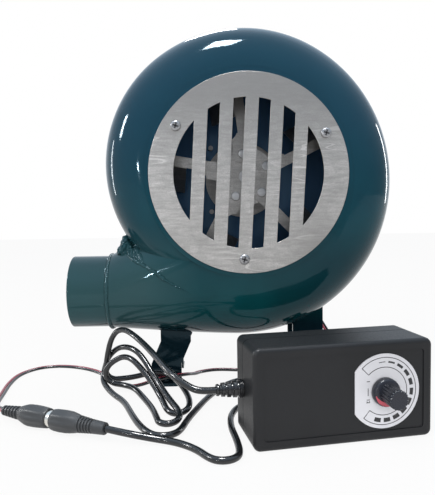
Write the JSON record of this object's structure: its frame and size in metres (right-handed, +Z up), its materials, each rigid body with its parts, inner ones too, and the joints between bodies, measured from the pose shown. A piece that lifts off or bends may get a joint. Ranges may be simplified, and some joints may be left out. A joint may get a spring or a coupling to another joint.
{
  "type": "electric forge blower with power adapter",
  "caption": "Small electric centrifugal blower on bent feet, with a grille, round outlet and a dial-controlled plug-in adapter on a coiled cord.",
  "frame": {"origin": "centre of the rectangle of foot holes, on the floor", "axes": "+X to the right seen from the inlet side (the outlet blows towards -X), +Y to the back where the motor is, +Z up"},
  "size_m": [0.2886, 0.2767, 0.2597],
  "materials": {
    "teal_paint": "glossy enamel",
    "galvanised_sheet": "galvanised, lightly scratched",
    "zinc_screws": "zinc plated",
    "motor_steel": "plated, satin",
    "end_bell_plastic": "moulded",
    "ferrite": "sintered",
    "bearing_steel": "ground",
    "brass_parts": "stamped",
    "graphite": "pressed carbon",
    "core_steel": "laminated",
    "copper_wire": "enamelled copper",
    "hub_aluminium": "turned",
    "rivet_aluminium": "cold headed",
    "black_screws": "black oxide",
    "case_plastic": "fine spark-eroded texture",
    "nickel_plate": "nickel plated",
    "board_laminate": "solder mask",
    "dial_white": "printed scale",
    "knob_plastic": "fluted",
    "inlay_red": "moulded-in colour",
    "cord_pvc": "glossy PVC sheath",
    "lead_red": "glossy PVC insulation",
    "connector_plastic": "moulded, ribbed boots"
  },
  "bodies": {
    "blower": {"housing_front_shell": "teal_paint", "housing_rear_shell": "teal_paint", "outlet_pipe": "teal_paint", "weld_beads": "teal_paint", "front_left_leg": "teal_paint", "front_right_leg": "teal_paint", "rear_left_leg": "teal_paint", "rear_right_leg": "teal_paint", "inlet_guard": "galvanised_sheet", "guard_screws": "zinc_screws", "motor_mount_plate": "galvanised_sheet", "mount_plate_screws": "zinc_screws", "motor_screws": "zinc_screws", "motor_can": "motor_steel", "motor_end_bell": "end_bell_plastic", "motor_magnets": "ferrite", "front_bearing": "bearing_steel", "rear_bearing": "bearing_steel", "brush_holders": "brass_parts", "motor_brushes": "graphite", "motor_terminals": "brass_parts", "adapter_front_shell": "case_plastic", "adapter_rear_shell": "case_plastic", "case_screws": "black_screws", "mains_pins": "nickel_plate", "circuit_board": "board_laminate", "transformer": "ferrite", "capacitors": "rivet_aluminium", "heat_sink": "hub_aluminium", "dial_plate": "dial_white", "potentiometer": "bearing_steel", "potentiometer_nut": "nickel_plate", "cord_gland": "cord_pvc", "jack_housing": "connector_plastic", "jack_collar": "nickel_plate", "plug_housing": "connector_plastic", "plug_barrel": "nickel_plate", "red_lead": "lead_red", "black_lead": "cord_pvc", "cord_to_hank": "cord_pvc", "cord_to_plug": "cord_pvc", "cord_hank": "cord_pvc"},
    "rotor": {"motor_shaft": "bearing_steel", "armature_core": "core_steel", "armature_windings": "copper_wire", "commutator": "copper_wire", "impeller_hub": "hub_aluminium", "hub_set_screw": "black_screws", "impeller_disc": "galvanised_sheet", "impeller_blade_1": "galvanised_sheet", "impeller_blade_2": "galvanised_sheet", "impeller_blade_3": "galvanised_sheet", "impeller_blade_4": "galvanised_sheet", "impeller_blade_5": "galvanised_sheet", "blade_rivets": "rivet_aluminium"},
    "knob": {"potentiometer_shaft": "bearing_steel", "speed_knob": "knob_plastic", "knob_inlay": "inlay_red"}
  },
  "joints": [
    {"name": "fan_spin", "type": "hinge", "parent": "blower", "child": "rotor", "pos_m": [0.004, -0.01675, 0.154], "axis": [0, 1, 0], "continuous": true},
    {"name": "knob_turn", "type": "hinge", "parent": "blower", "child": "knob", "pos_m": [0.07376, -0.14071, 0.028], "axis": [0.1857, -0.9826, 0], "range_deg": [-30, 250]}
  ]
}
